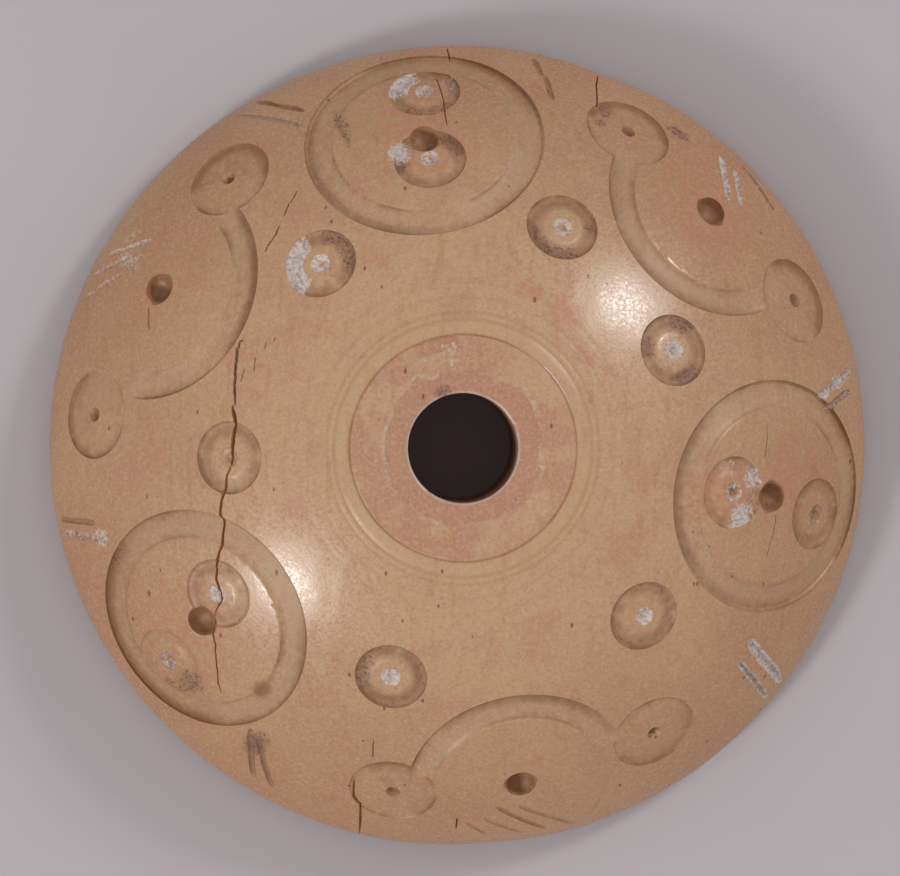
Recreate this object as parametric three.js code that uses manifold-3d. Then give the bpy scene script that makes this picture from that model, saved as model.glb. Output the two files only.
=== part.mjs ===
import * as THREE from 'three';
import { mergeVertices } from 'three/addons/utils/BufferGeometryUtils.js';
import Module from 'manifold-3d';

// A bone spindle whorl: a low turned dome, bored through, with a flat underside.
// Compass-drawn rings, ring-and-dots and short strokes are cut into the dome.
// Units are millimetres, +Z is up, and the underside lies on z = 0 with the bore on the Z axis.

// Body
const LENGTH = 38.0; // long diameter, along X
const WIDTH = 37.3; // short diameter, along Y
const HEIGHT = 11.45; // underside to the collar round the bore
const GIRTH_HEIGHT = 1.25; // height of the widest line
const DOME_POWER = 0.75; // fullness of the dome: 0.5 is an ellipse, 1 a parabola
const FOOT_INSET = 0.8; // how far the edge rounds in below the girth
const BORE_DIAMETER = 4.95;
const BORE_CHAMFER = 0.18; // worn lip at both mouths of the bore
const COLLAR_DIAMETER = 10.08; // flat worn seat round the bore
const ROUND_CORE_DIAMETER = 12.0; // inside this the turning is truly round

// Turned lines round the collar
const LINE_DEPTH = 0.1;
const LINE_WIDTH = 0.2;
const OUTER_LINE_GAP = 0.74; // from the collar's edge out to the second line's middle

// Large compass rings: outer edge, width of the band and depth at each of its edges
const LARGE_RADIUS = 5.25;
const LARGE_BAND = 1.25;
const LARGE_DEPTH = 0.28;
const LARGE_INNER_DEPTH = 0.1;
const LARGE_LEAN = 20; // degrees that the compass leans out from the whorl's axis
const LARGE_FADE = 0.75; // share of its depth that a strokes ring loses towards the rim
const CENTRE_HOLE_DIAMETER = 1.36;
const CENTRE_HOLE_DEPTH = 0.95;

// Small ring-and-dots
const SMALL_RADIUS = 1.66;
const SMALL_BAND = 0.6;
const SMALL_DEPTH = 0.26;
const SMALL_DOT_DIAMETER = 0.66;
const SMALL_DOT_DEPTH = 0.4;

// Ring-and-dots that straddle a strokes ring
const SIDE_RADIUS = 1.98;
const SIDE_BAND = 0.75;
const SIDE_DEPTH = 0.18;
const SIDE_DOT_DIAMETER = 0.44;
const SIDE_DOT_DEPTH = 0.25;

// Strokes and cracks
const PAIR_WIDTH = 0.46;
const PAIR_DEPTH = 0.2;
const HATCH_WIDTH = 0.4;
const HATCH_DEPTH = 0.15;
const CRACK_WIDTH = 0.16;
const CRACK_DEPTH = 0.3;

const CUT_END = 0.45; // share of its width and depth that a stroke or crack keeps at its ends

// How far every cutter stands above the surface it cuts
const PROUD = 0.4;

// How steeply the surface that the cutters follow drops past the girth
const OVERHANG_FALL = 3;

// Share of a drilled dot's depth at its wall, where its dished bottom starts
const DISH = 0.55;

// Faceting
const DOME_SIDES = 48;
const DOME_ROWS = 8;
const FOOT_ROWS = 2;
const LARGE_SIDES = 28;
const SMALL_SIDES = 12;
const HOLE_SIDES = 10;
const DOT_SIDES = 6;

const GIRTH_RADIUS = LENGTH / 2;
const OVAL = WIDTH / LENGTH;
const BORE_RADIUS = BORE_DIAMETER / 2;
const COLLAR_RADIUS = COLLAR_DIAMETER / 2;
const CORE_RADIUS = ROUND_CORE_DIAMETER / 2;

// Places on the dome: [distance in from the girth, degrees round from +X]
const BETWEEN_RINGS = [[4.6, 96.2], [4.45, -146.4], [4.65, -9.2]]; // rings with two ring-and-dots inside
const STROKE_RINGS = [[3.0, 43.6], [3.3, 151.9], [2.95, -79.9]]; // rings with strokes out to the rim
const GAP_DOTS = [[7.95, 65.7], [8.45, 24.9], [7.7, -43.0], [8.05, -107.1], [8.45, -177.5], [8.45, 127.3]];
const INNER_DOTS = [[5.65, 96.1], [6.05, -148.7], [6.35, -9.5]];
const OUTER_DOTS = [[2.35, 95.6], [2.3, -143.2], [2.27, -10.9]];
const SIDE_DOTS = [
  [2.35, 62.2], [2.1, 23.9],
  [2.6, 130.3], [2.15, 174.9],
  [2.95, -56.2], [2.6, -100.8],
];
const STROKE_PAIRS = [
  [[0.2, -36.7], [3.0, -34.2]], [[0.3, -39.8], [2.8, -38.0]],
  [[0.4, 11.0], [2.3, 8.2]], [[0.6, 8.3], [2.0, 6.0]],
  [[0.3, 79.2], [1.2, 77.6]], [[1.1, 77.2], [2.3, 75.2]],
  [[0.2, 120.0], [1.8, 114.3]], [[0.2, 123.4], [2.5, 115.3]],
  [[0.3, -167.5], [2.4, -164.8]], [[0.2, -169.4], [1.9, -168.0]],
  [[0.7, -118.0], [2.6, -124.6]], [[0.7, -121.2], [2.8, -126.3]],
];
const HATCHES = [
  [[0.7, 48.6], [2.1, 42.6]], [[0.7, 45.6], [1.8, 40.9]], [[0.4, 41.9], [1.1, 37.8]],
  [[0.2, 158.5], [1.5, 152.3]], [[0.2, 154.6], [1.4, 149.8]], [[0.4, 151.2], [1.9, 145.6]],
  [[0.3, -73.0], [2.0, -81.0]], [[0.4, -77.2], [2.1, -84.6]], [[0.4, -80.7], [1.5, -86.4]],
  [[0.5, -85.6], [1.3, -89.0]],
];
const CRACKS = [
  [[5.7, 128], [7.9, 153], [8.6, 176], [7.6, 196], [6.3, 210], [3.1, 226.5]],
  [[0.3, 90.9], [2.2, 92.3], [4.0, 92.5]],
  [[0.3, -104.1], [1.5, -104.9], [2.8, -107.4]],
];

const wasm = await Module();
wasm.setup();

// How much the turning is squeezed along Y at a distance r from the axis
function ovalAt(r) {
  const share = THREE.MathUtils.clamp((r - CORE_RADIUS) / (GIRTH_RADIUS - CORE_RADIUS), 0, 1);
  return 1 - (1 - OVAL) * share;
}

// The dome's rise above the girth if it ran on up to the axis
const COLLAR_SHARE = 1 - (COLLAR_RADIUS / GIRTH_RADIUS) ** 2;
const DOME_RISE = (HEIGHT - GIRTH_HEIGHT) / COLLAR_SHARE ** DOME_POWER;

// Height of the dome at a distance r from the axis. Past the girth it drops away, for cutters that overhang.
function domeHeight(r) {
  if (r <= COLLAR_RADIUS) {
    return HEIGHT;
  }
  if (r >= GIRTH_RADIUS) {
    return GIRTH_HEIGHT - OVERHANG_FALL * (r - GIRTH_RADIUS);
  }
  return GIRTH_HEIGHT + DOME_RISE * (1 - (r / GIRTH_RADIUS) ** 2) ** DOME_POWER;
}

// Distance from the axis, before the oval squeeze, of a point seen from above
function turnedRadius(x, y) {
  let r = Math.hypot(x, y);
  for (let pass = 0; pass < 5; pass += 1) {
    r = Math.hypot(x, y / ovalAt(r));
  }
  return r;
}

function heightAbove(point) {
  return point.z - domeHeight(turnedRadius(point.x, point.y));
}

// The point of the dome at a place [inset, degrees]
function onDome([inset, degrees]) {
  const r = Math.max(GIRTH_RADIUS - inset, 0);
  const angle = THREE.MathUtils.degToRad(degrees);
  return new THREE.Vector3(r * Math.cos(angle), r * Math.sin(angle) * ovalAt(r), domeHeight(r));
}

// The outward normal of the dome near a point
function domeNormal(point) {
  const step = 0.01;
  const slope = (dx, dy) => {
    const ahead = domeHeight(turnedRadius(point.x + dx, point.y + dy));
    const behind = domeHeight(turnedRadius(point.x - dx, point.y - dy));
    return (ahead - behind) / (2 * step);
  };
  return new THREE.Vector3(-slope(step, 0), -slope(0, step), 1).normalize();
}

// A unit vector that leans out from the Z axis over the point
function leanOut(point, degrees) {
  const angle = THREE.MathUtils.degToRad(degrees);
  const out = Math.atan2(point.y, point.x);
  return new THREE.Vector3(
    Math.sin(angle) * Math.cos(out),
    Math.sin(angle) * Math.sin(out),
    Math.cos(angle),
  );
}

// Slides a point along an axis until it meets the dome
function dropOnDome(point, axis) {
  let above = GIRTH_RADIUS;
  let below = -GIRTH_RADIUS;
  for (let pass = 0; pass < 40; pass += 1) {
    const middle = (above + below) / 2;
    if (heightAbove(point.clone().addScaledVector(axis, middle)) > 0) {
      above = middle;
    } else {
      below = middle;
    }
  }
  return point.clone().addScaledVector(axis, above);
}

function toSolid(geometry) {
  const bare = geometry.clone();
  bare.deleteAttribute('normal');
  bare.deleteAttribute('uv');
  const merged = mergeVertices(bare, 1e-5);
  return new wasm.Manifold(new wasm.Mesh({
    numProp: 3,
    vertProperties: Float32Array.from(merged.attributes.position.array),
    triVerts: Uint32Array.from(merged.index.array),
  }));
}

function toGeometry(solid) {
  const mesh = solid.getMesh();
  const geometry = new THREE.BufferGeometry();
  geometry.setAttribute('position', new THREE.BufferAttribute(mesh.vertProperties, 3));
  geometry.setIndex(new THREE.BufferAttribute(mesh.triVerts, 1));
  geometry.computeVertexNormals();
  return geometry;
}

// A solid from a row of like sections, each a loop of points. The row closes on itself, or is capped at its ends.
function loft(sections, closed) {
  const count = sections[0].length;
  const positions = sections.flat().flatMap((point) => point.toArray());
  const index = [];
  const last = closed ? sections.length : sections.length - 1;
  for (let row = 0; row < last; row += 1) {
    const next = (row + 1) % sections.length;
    for (let i = 0; i < count; i += 1) {
      const j = (i + 1) % count;
      index.push(row * count + i, row * count + j, next * count + j);
      index.push(row * count + i, next * count + j, next * count + i);
    }
  }
  if (!closed) {
    const end = (sections.length - 1) * count;
    for (let i = 1; i < count - 1; i += 1) {
      index.push(0, i + 1, i);
      index.push(end, end + i, end + i + 1);
    }
  }
  const geometry = new THREE.BufferGeometry();
  geometry.setAttribute('position', new THREE.Float32BufferAttribute(positions, 3));
  geometry.setIndex(index);
  return toSolid(geometry);
}

// A solid of revolution about the Z axis from [radius, height] points
function turned(points, sides) {
  const profile = points.map(([r, z]) => new THREE.Vector2(r, z));
  return toSolid(new THREE.LatheGeometry(profile, sides).rotateX(Math.PI / 2));
}

// A fine V-shaped line turned into the dome with its middle at a distance r from the axis, from the rim inwards
function lineNotch(r) {
  const half = LINE_WIDTH / 2;
  return [[r + half, domeHeight(r + half)], [r, domeHeight(r) - LINE_DEPTH], [r - half, domeHeight(r - half)]];
}

// The turned body: up the outside from the underside, in over the collar, and down the bore
function bodySolid() {
  const innerLine = lineNotch(COLLAR_RADIUS + LINE_WIDTH / 2);
  const outerLine = lineNotch(COLLAR_RADIUS + OUTER_LINE_GAP);
  const domeFoot = outerLine[0][0];
  const profile = [[BORE_RADIUS + BORE_CHAMFER, 0]];
  for (let row = 0; row <= FOOT_ROWS; row += 1) {
    const angle = (Math.PI / 2) * (row / FOOT_ROWS);
    profile.push([
      GIRTH_RADIUS - FOOT_INSET * (1 - Math.sin(angle)),
      GIRTH_HEIGHT * (1 - Math.cos(angle)),
    ]);
  }
  for (let row = 1; row < DOME_ROWS; row += 1) {
    const angle = (Math.PI / 2) * (row / DOME_ROWS);
    const r = domeFoot + (GIRTH_RADIUS - domeFoot) * Math.cos(angle);
    profile.push([r, domeHeight(r)]);
  }
  profile.push(
    ...outerLine,
    ...innerLine,
    [BORE_RADIUS + BORE_CHAMFER, HEIGHT],
    [BORE_RADIUS, HEIGHT - BORE_CHAMFER],
    [BORE_RADIUS, BORE_CHAMFER],
  );
  profile.push(profile[0]);
  return turned(profile, DOME_SIDES).warp((vertex) => {
    vertex[1] *= ovalAt(Math.hypot(vertex[0], vertex[1]));
  });
}

// A ring cut with a compass that stands on the dome at a place and leans out by lean degrees.
// The band is deepest at its outer edge. Its floor runs out at the inner edge, or has a step of innerDepth there.
// fade takes depth away on the side that faces the rim.
function ringCutter(place, lean, { radius, band, depth, innerDepth = 0, sides, fade = 0 }) {
  const centre = onDome(place);
  const axis = leanOut(centre, lean);
  const across = new THREE.Vector3(0, 0, 1).cross(axis).normalize();
  const outward = across.clone().cross(axis);
  const sections = [];
  for (let side = 0; side < sides; side += 1) {
    const angle = (2 * Math.PI * side) / sides;
    const arm = outward.clone().multiplyScalar(Math.cos(angle)).addScaledVector(across, Math.sin(angle));
    const kept = 1 - fade * (0.5 + 0.5 * Math.cos(angle));
    const at = (reach, lift) => {
      const landed = dropOnDome(centre.clone().addScaledVector(arm, reach), axis);
      return landed.addScaledVector(axis, lift);
    };
    const wall = [at(radius, PROUD), at(radius, -depth * kept)];
    const island = radius - band;
    const floorEnd = innerDepth > 0
      ? [at(island, -innerDepth * kept), at(island, PROUD)]
      : [at(island / 2, (depth * kept * island) / (2 * band))];
    sections.push([...wall, ...floorEnd]);
  }
  return loft(sections, true);
}

// A drilled hole or dot with a dished bottom
function dotCutter(place, lean, diameter, depth, sides) {
  const centre = onDome(place);
  const axis = leanOut(centre, lean);
  const half = diameter / 2;
  const turn = new THREE.Quaternion().setFromUnitVectors(new THREE.Vector3(0, 0, 1), axis);
  const profile = [[0, -depth], [half, -depth * DISH], [half, 2 * PROUD], [0, 2 * PROUD]]
    .map(([r, z]) => new THREE.Vector2(r, z));
  const geometry = new THREE.LatheGeometry(profile, sides).rotateX(Math.PI / 2);
  geometry.applyQuaternion(turn);
  geometry.translate(centre.x, centre.y, centre.z);
  return toSolid(geometry);
}

// A V-shaped cut that follows the dome through a row of places, and runs out at both ends
function strokeCutter(places, width, depth) {
  const points = places.map(onDome);
  const sections = points.map((point, i) => {
    const normal = domeNormal(point);
    const ahead = points[Math.min(i + 1, points.length - 1)];
    const behind = points[Math.max(i - 1, 0)];
    const sideways = ahead.clone().sub(behind).cross(normal).normalize();
    const end = i === 0 || i === points.length - 1;
    const kept = end ? CUT_END : 1;
    const half = (width / 2) * kept;
    const at = (shift, lift) => point.clone().addScaledVector(sideways, shift).addScaledVector(normal, lift);
    return [at(-half, 0), at(-half, PROUD), at(half, PROUD), at(half, 0), at(0, -depth * kept)];
  });
  return loft(sections, false);
}

// A straight stroke takes one more place in its middle, so that it follows the dome
function straightStroke([start, finish], width, depth) {
  const middle = start.map((value, i) => (value + finish[i]) / 2);
  return strokeCutter([start, middle, finish], width, depth);
}

// The compass for a small ring stands square to the dome
function squareLean(place) {
  return THREE.MathUtils.radToDeg(domeNormal(onDome(place)).angleTo(new THREE.Vector3(0, 0, 1)));
}

function ringAndDots(places, ring, dotDiameter, dotDepth) {
  return places.flatMap((place) => {
    const lean = squareLean(place);
    return [
      ringCutter(place, lean, ring),
      dotCutter(place, lean, dotDiameter, dotDepth, DOT_SIDES),
    ];
  });
}

function largeRings(places, fade) {
  const ring = {
    radius: LARGE_RADIUS,
    band: LARGE_BAND,
    depth: LARGE_DEPTH,
    innerDepth: LARGE_INNER_DEPTH,
    sides: LARGE_SIDES,
    fade,
  };
  return places.flatMap((place) => [
    ringCutter(place, LARGE_LEAN, ring),
    dotCutter(place, LARGE_LEAN, CENTRE_HOLE_DIAMETER, CENTRE_HOLE_DEPTH, HOLE_SIDES),
  ]);
}

const smallRing = {
  radius: SMALL_RADIUS,
  band: SMALL_BAND,
  depth: SMALL_DEPTH,
  sides: SMALL_SIDES,
};
const sideRing = {
  radius: SIDE_RADIUS,
  band: SIDE_BAND,
  depth: SIDE_DEPTH,
  sides: SMALL_SIDES,
};

const cutters = [
  ...largeRings(BETWEEN_RINGS, 0),
  ...largeRings(STROKE_RINGS, LARGE_FADE),
  ...ringAndDots([...GAP_DOTS, ...INNER_DOTS, ...OUTER_DOTS], smallRing, SMALL_DOT_DIAMETER, SMALL_DOT_DEPTH),
  ...ringAndDots(SIDE_DOTS, sideRing, SIDE_DOT_DIAMETER, SIDE_DOT_DEPTH),
  ...STROKE_PAIRS.map((ends) => straightStroke(ends, PAIR_WIDTH, PAIR_DEPTH)),
  ...HATCHES.map((ends) => straightStroke(ends, HATCH_WIDTH, HATCH_DEPTH)),
  ...CRACKS.map((places) => strokeCutter(places, CRACK_WIDTH, CRACK_DEPTH)),
];

const whorlSolid = cutters.reduce((solid, cutter) => solid.subtract(cutter), bodySolid());

const boneMaterial = new THREE.MeshStandardMaterial({
  color: 0xb8895e,
  roughness: 0.42,
  metalness: 0,
});

const whorl = new THREE.Mesh(toGeometry(whorlSolid), boneMaterial);
whorl.name = 'whorl';

const group = new THREE.Group();
group.add(whorl);

export default group;
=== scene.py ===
import math
from collections import namedtuple

import bpy
import numpy as np
from bpy.props import FloatProperty, FloatVectorProperty, PointerProperty
from mathutils import Matrix, Vector, noise
from mathutils.bvhtree import BVHTree


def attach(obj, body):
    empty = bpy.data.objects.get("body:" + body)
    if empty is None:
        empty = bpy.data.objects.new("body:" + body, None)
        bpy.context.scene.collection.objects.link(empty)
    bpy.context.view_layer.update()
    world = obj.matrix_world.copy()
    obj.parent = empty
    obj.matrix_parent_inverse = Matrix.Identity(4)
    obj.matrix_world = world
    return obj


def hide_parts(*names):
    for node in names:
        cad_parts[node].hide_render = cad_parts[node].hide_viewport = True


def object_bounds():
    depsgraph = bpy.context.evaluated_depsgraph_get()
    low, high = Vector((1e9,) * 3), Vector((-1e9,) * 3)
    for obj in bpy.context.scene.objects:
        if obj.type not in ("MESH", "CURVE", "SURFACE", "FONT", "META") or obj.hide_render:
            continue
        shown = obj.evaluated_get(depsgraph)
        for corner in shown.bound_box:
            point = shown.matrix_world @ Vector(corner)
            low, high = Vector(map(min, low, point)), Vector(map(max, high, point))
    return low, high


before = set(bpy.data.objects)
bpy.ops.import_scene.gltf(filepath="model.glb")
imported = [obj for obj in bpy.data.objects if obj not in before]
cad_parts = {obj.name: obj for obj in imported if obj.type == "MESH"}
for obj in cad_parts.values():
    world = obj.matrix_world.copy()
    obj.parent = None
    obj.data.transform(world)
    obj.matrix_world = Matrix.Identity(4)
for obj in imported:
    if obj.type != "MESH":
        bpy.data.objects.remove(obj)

bl_info = {
    "name": "Bone Spindle Whorl",
    "version": (1, 0, 0),
    "blender": (4, 5, 0),
    "location": "3D View > Sidebar > Whorl",
    "description": "A turned bone spindle whorl with compass-drawn rings, ring-and-dots and strokes",
    "category": "Add Mesh",
}

CAD_LOW, CAD_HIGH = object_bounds()

# Everything is modelled in millimetres and brought to metres at the end
MM = 0.001

# The body's main sizes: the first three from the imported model's box, the others as in the part's source
GIRTH_RADIUS = (CAD_HIGH.x - CAD_LOW.x) / 2 / MM
HEIGHT = (CAD_HIGH.z - CAD_LOW.z) / MM
OVAL = (CAD_HIGH.y / MM) / GIRTH_RADIUS
GIRTH_HEIGHT = 1.25
DOME_POWER = 0.75
FOOT_INSET = 0.8
COLLAR_RADIUS = 5.04
CORE_RADIUS = 6.0
DOME_RISE = (HEIGHT - GIRTH_HEIGHT) / (1 - (COLLAR_RADIUS / GIRTH_RADIUS) ** 2) ** DOME_POWER

# Fine body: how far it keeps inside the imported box, and how close its rows lie
CLEARANCE = 0.02
BODY_SIDES = 320
DOME_ROWS = 84
FOOT_ROWS = 9
COLLAR_STEP = 0.06
BORE_ROWS = 8

# Turned lines round the collar: distance from the axis, half width, depth
TURNED_LINES = (
    (COLLAR_RADIUS + 0.06, 0.08, 0.06),
    (5.8, 0.12, 0.02),
    (6.12, 0.12, 0.012),
    (6.8, 0.14, 0.006),
    (7.5, 0.16, 0.004),
)

# The smooth band between the first two turned lines: its middle, half width and swell, and the middle
# of its pale tint
BAND_MIDDLE = 5.44
BAND_HALF = 0.3
BAND_SWELL = 0.015
BAND_TINT_MIDDLE = 5.6

# Distances from the axis between which the painted highlight of the bore's rounded lip, a pale ring in the
# chalk colour, runs out
BORE_LIP_HIGHLIGHT = (2.52, 2.6)

# Pores: the share of the scatter's cells left without one, and their smallest and largest size
PORE_CHANCE = 0.3
PORE_SIZES = (0.03, 0.09)

# How far a cutter stands above the surface it cuts, and how far its lips clear it
PROUD = 0.5
LIP_LIFT = 0.04

# How quickly a stroke or crack runs out at its ends: 6 takes a sixth of its length
RUN_OUT = 6.0

# How a crack strays from the line between its places: turns per millimetre and size, of its bends
# and of its rags
CRACK_BENDS = (1.7, 0.08)
CRACK_RAGS = (8.0, 0.05)

# Kinds of residue and wear that a cut or a patch of surface carries
BROWN, CHALK, GRIME, DUST = 0, 1, 2, 3

# Above this strength brown is the orange brown of a crack
BROWN_LIMIT = 0.82

# Sections across a ring groove: distance in from its outer lip, height above the dome, brown in the corner
# Each section's brown is stain, and also painted shade that darkens the groove's corners
LARGE_SECTION = (
    (-0.1, 0.05, 0.2), (0.0, -0.01, 0.6), (0.04, -0.1, 0.8), (0.09, -0.19, 0.7), (0.17, -0.26, 0.5),
    (0.35, -0.25, 0.3), (0.65, -0.21, 0.1), (0.96, -0.165, 0.1), (1.12, -0.13, 0.3), (1.22, -0.075, 0.5),
    (1.3, -0.02, 0.4), (1.36, 0.0, 0.2), (1.46, 0.05, 0.1),
)
SMALL_SECTION = (
    (-0.09, 0.05, 0.3), (0.0, -0.01, 0.8), (0.03, -0.07, 0.8), (0.08, -0.13, 0.7), (0.17, -0.18, 0.5),
    (0.3, -0.18, 0.3), (0.45, -0.15, 0.2), (0.58, -0.11, 0.2), (0.7, -0.06, 0.2), (0.82, -0.03, 0.1),
    (0.96, -0.015, 0.0), (1.12, -0.01, 0.0), (1.28, 0.03, 0.0),
)
SIDE_SECTION = (
    (-0.09, 0.05, 0.3), (0.0, -0.01, 0.8), (0.04, -0.06, 1.0), (0.1, -0.1, 0.8), (0.22, -0.11, 0.4),
    (0.42, -0.1, 0.15), (0.65, -0.07, 0.05), (0.85, -0.04, 0.0), (1.1, -0.03, 0.0), (1.4, -0.03, 0.0),
    (1.8, -0.035, 0.0),
)

# Profiles of drilled holes: distance from the drill's axis, height above the dome
CENTRE_HOLE = (
    (0.0, -0.8), (0.22, -0.78), (0.4, -0.7), (0.52, -0.55), (0.6, -0.35), (0.65, -0.16), (0.69, -0.05),
    (0.74, -0.01), (0.84, 0.06), (0.84, PROUD), (0.0, PROUD),
)
SMALL_DOT = (
    (0.0, -0.22), (0.1, -0.2), (0.18, -0.13), (0.26, -0.09), (0.36, -0.08), (0.43, -0.05),
    (0.49, 0.0), (0.6, 0.05), (0.6, PROUD), (0.0, PROUD),
)
SIDE_DOT = (
    (0.0, -0.36), (0.1, -0.33), (0.18, -0.24), (0.23, -0.14), (0.3, -0.08), (0.36, 0.0),
    (0.36, PROUD), (0.0, PROUD),
)

# How much pale dust lies in the grooves
LARGE_DUST = 0.42
SMALL_DUST = 0.1
SIDE_DUST = 0.15

# Share of its depth that a side ring keeps where it isn't stained
SIDE_LEAST = 0.75

# Radius at the outer lip, and steps round each kind of ring
LARGE_RADIUS = 5.25
LARGE_STEPS = 176
SMALL_RADIUS = 1.66
SIDE_RADIUS = 2.05
SMALL_STEPS = 72
HOLE_STEPS = 36

# How far the compass leans out over a large ring, in degrees
LARGE_LEAN = 20.0

# A strokes ring has its full depth on the side of the bore, beyond FULL_ANGLE, and little before FADED_ANGLE
FULL_ANGLE = 118.0
FADED_ANGLE = 100.0
FADED_SHARE = 0.08

# Its inner step stays a little clearer; the step begins this far in from the outer lip
INNER_STEP = 1.0
INNER_SHARE = 0.4

# Offsets and strengths between which a stain thins out: brown keeps to the outer corner of a groove,
# grime and what goes all round to its outer half
CORNER_OFFSETS = (0.2, 0.6)
CORNER_STRENGTHS = (1.0, 0.3)
HALF_OFFSETS = (0.45, 0.9)
HALF_STRENGTHS = (1.0, 0.1)

# An arc that spans more degrees than this counts as going all round; every arc ends softly over SOFT_END
ALL_ROUND = 300
SOFT_END = 24.0

# A groove's stain is patchy along it: its mean and how much it varies
PATCHY_MEAN = 0.7
PATCHY_RANGE = 1.1

# A carved motif stands at (inset from the girth, degrees round from +X).
# An arc is (kind, from, to, strength); its angles run from the rim side round with the degrees.
# A dot is (brown, chalk, grime) and, where it isn't MIDDLE_CHALK, the share of the chalk left in its middle.
# Wide stretches a ring along the rim, long stretches it across the rim, deep scales its depth.
Ring = namedtuple("Ring", "inset degrees arcs dot wide long deep", defaults=(1.0, 1.0, 1.0))
MIDDLE_CHALK = 0.35

BETWEEN_RINGS = (
    Ring(4.6, 96.7, ((BROWN, 60, 130, 0.5), (BROWN, -80, -20, 0.6)), (0.6, 0.0, 0.0), wide=1.05),
    Ring(4.65, -145.8, ((BROWN, -75, 60, 0.8), (BROWN, -180, 180, 0.15), (GRIME, -80, -50, 0.5)),
         (0.6, 0.0, 0.0), wide=1.01, long=1.01),
    Ring(4.5, -9.2, ((BROWN, 140, 230, 0.6),), (0.7, 0.1, 0.0), wide=1.02, long=1.05),
)
STROKE_RINGS = (
    Ring(3.0, 43.6, ((BROWN, 150, 230, 0.6),), (0.6, 0.0, 0.0)),
    Ring(3.3, 151.9, ((BROWN, 170, 235, 0.8),), (0.6, 0.0, 0.0)),
    Ring(2.95, -79.9, ((BROWN, 130, 220, 0.6),), (0.8, 0.0, 0.0)),
)
GAP_DOTS = (
    Ring(7.95, 65.7, ((BROWN, -180, 180, 0.55), (GRIME, 110, 240, 0.75), (GRIME, -90, -40, 0.5),
                      (BROWN, 90, 200, 0.8)), (0.2, 0.7, 0.3)),
    Ring(8.45, 24.9, ((BROWN, -180, 180, 0.5), (GRIME, -115, -55, 0.95), (GRIME, 20, 65, 0.9),
                      (GRIME, 125, 175, 0.75)), (0.1, 0.9, 0.0)),
    Ring(7.7, -43.0, ((BROWN, -180, 180, 0.4), (GRIME, -180, 180, 0.35)), (0.0, 0.75, 0.3, 1.0)),
    Ring(8.05, -107.1, ((BROWN, -180, 180, 0.6), (GRIME, -180, 180, 0.35), (GRIME, -130, -50, 0.6)),
         (0.0, 0.8, 0.2, 1.0)),
    Ring(8.45, -177.5, ((BROWN, -180, 180, 0.45), (BROWN, -30, 30, 0.4)), (0.5, 0.0, 0.0)),
    Ring(8.45, 127.3, ((BROWN, -180, 180, 0.5), (CHALK, -5, 115, 0.9), (GRIME, -150, -30, 0.75)),
         (0.2, 0.9, 0.0, 0.6)),
)
INNER_DOTS = (
    Ring(5.65, 96.1, ((BROWN, -180, 180, 0.4), (GRIME, -90, -20, 0.8), (BROWN, -90, 120, 0.8),
                      (GRIME, 80, 110, 0.7)), (0.0, 0.62, 0.5, 1.0)),
    Ring(6.05, -148.7, ((BROWN, -180, 180, 0.4), (GRIME, -180, -60, 0.4)), (0.2, 0.8, 0.0, 0.8), deep=0.65),
    Ring(6.45, -9.5, ((BROWN, -180, 180, 0.2), (CHALK, 15, 60, 0.8), (CHALK, -85, -35, 0.9),
                      (CHALK, -40, 20, 0.3), (CHALK, 90, 130, 0.4)), (0.8, 0.62, 0.0)),
)
OUTER_DOTS = (
    Ring(2.35, 95.6, ((BROWN, -180, 180, 0.45), (CHALK, 10, 95, 0.85), (CHALK, -100, -40, 0.35),
                      (GRIME, -110, -50, 0.6), (GRIME, 130, 240, 0.5)), (0.1, 0.62, 0.5, 1.0)),
    Ring(2.3, -143.2, ((BROWN, -180, 180, 0.2), (GRIME, 20, 120, 0.6)), (0.0, 0.5, 0.8, 1.0), deep=0.6),
    Ring(2.27, -10.9, ((BROWN, -180, 180, 0.35), (BROWN, 100, 260, 0.7)), (0.8, 0.4, 0.0)),
)
SIDE_DOTS = (
    Ring(2.35, 62.2, ((BROWN, -80, 100, 0.8),), (0.8, 0.0, 0.0)),
    Ring(2.1, 23.9, ((BROWN, -70, 100, 0.8),), (0.8, 0.3, 0.0)),
    Ring(2.6, 130.3, ((BROWN, -140, 60, 0.8),), (0.8, 0.0, 0.0)),
    Ring(2.15, 174.9, ((BROWN, -60, 90, 0.6),), (0.8, 0.0, 0.0)),
    Ring(2.95, -56.2, ((BROWN, -90, 90, 0.5),), (0.8, 0.0, 0.0)),
    Ring(2.6, -100.8, ((BROWN, 150, 230, 0.8),), (0.7, 0.0, 0.0)),
)

# Straight strokes near the rim: two places, width, depth, then (brown, chalk, grime) in the cut
Stroke = namedtuple("Stroke", "start end width depth fill")

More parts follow.
